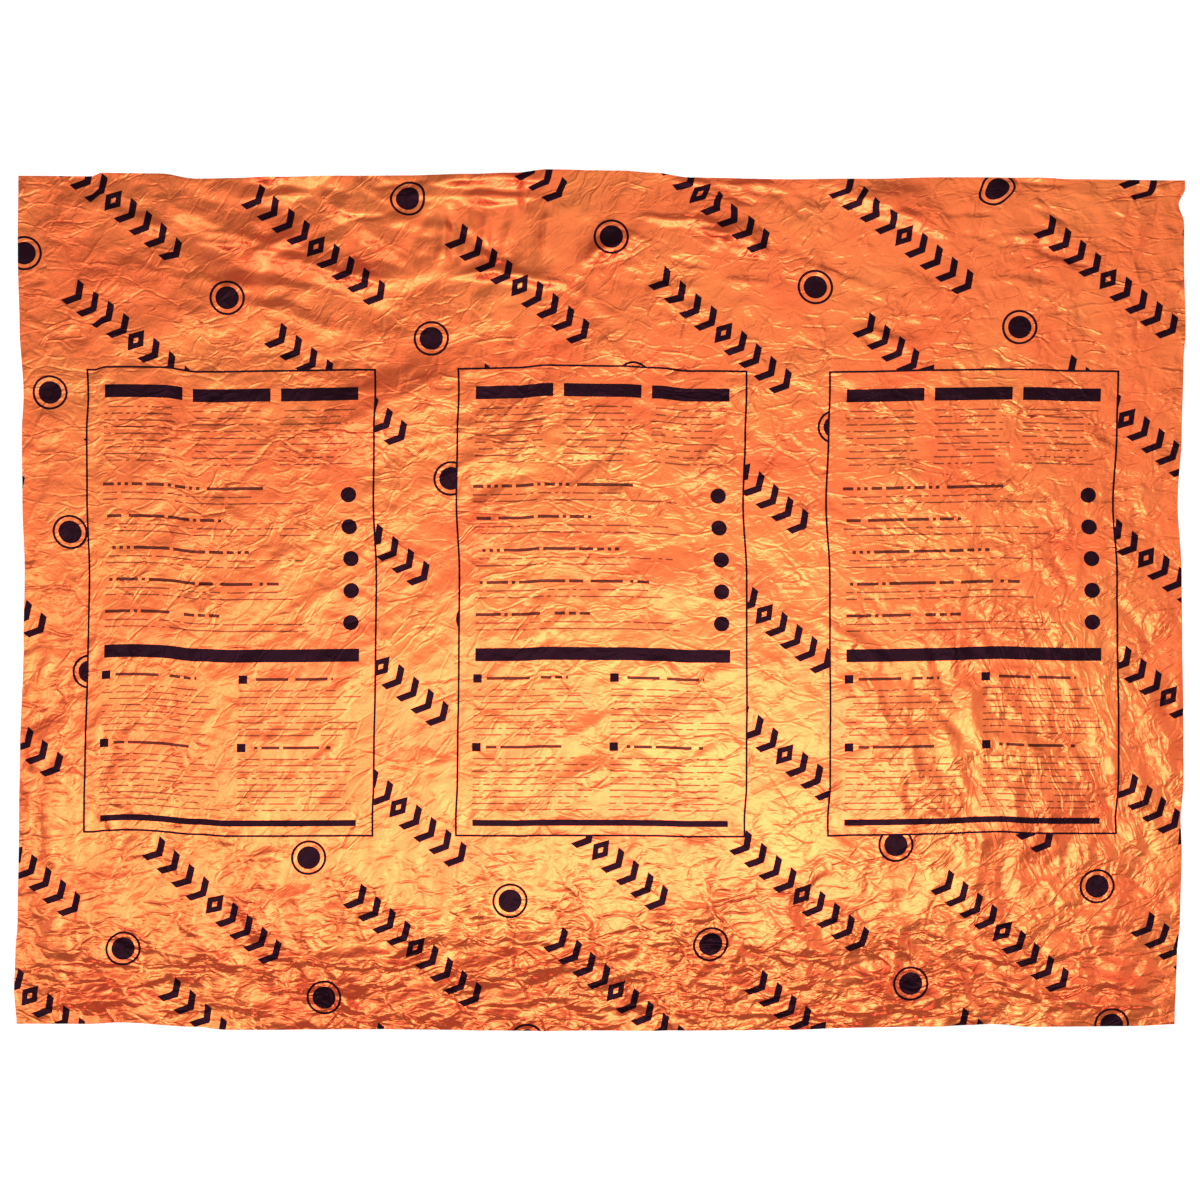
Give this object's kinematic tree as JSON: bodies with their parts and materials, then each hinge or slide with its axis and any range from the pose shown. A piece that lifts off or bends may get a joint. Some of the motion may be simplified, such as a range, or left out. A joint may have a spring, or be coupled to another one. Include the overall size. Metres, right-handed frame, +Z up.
{
  "type": "emergency foil blanket",
  "caption": "Rectangular sheet of orange-gold metallised film, shaken out and laid flat with its folds and creases, printed in black on the side that shows.",
  "frame": {"origin": "middle of the sheet's box, on the surface that it rests on", "axes": "+X along the long side, +Y towards the far long edge, +Z up from the surface"},
  "size_m": [1.995, 1.467, 0.0185],
  "materials": {
    "foil": "orange-gold metallised plastic film, glossy and finely crinkled, with black print"
  },
  "bodies": {
    "root": {"blanket": "foil"}
  },
  "joints": []
}
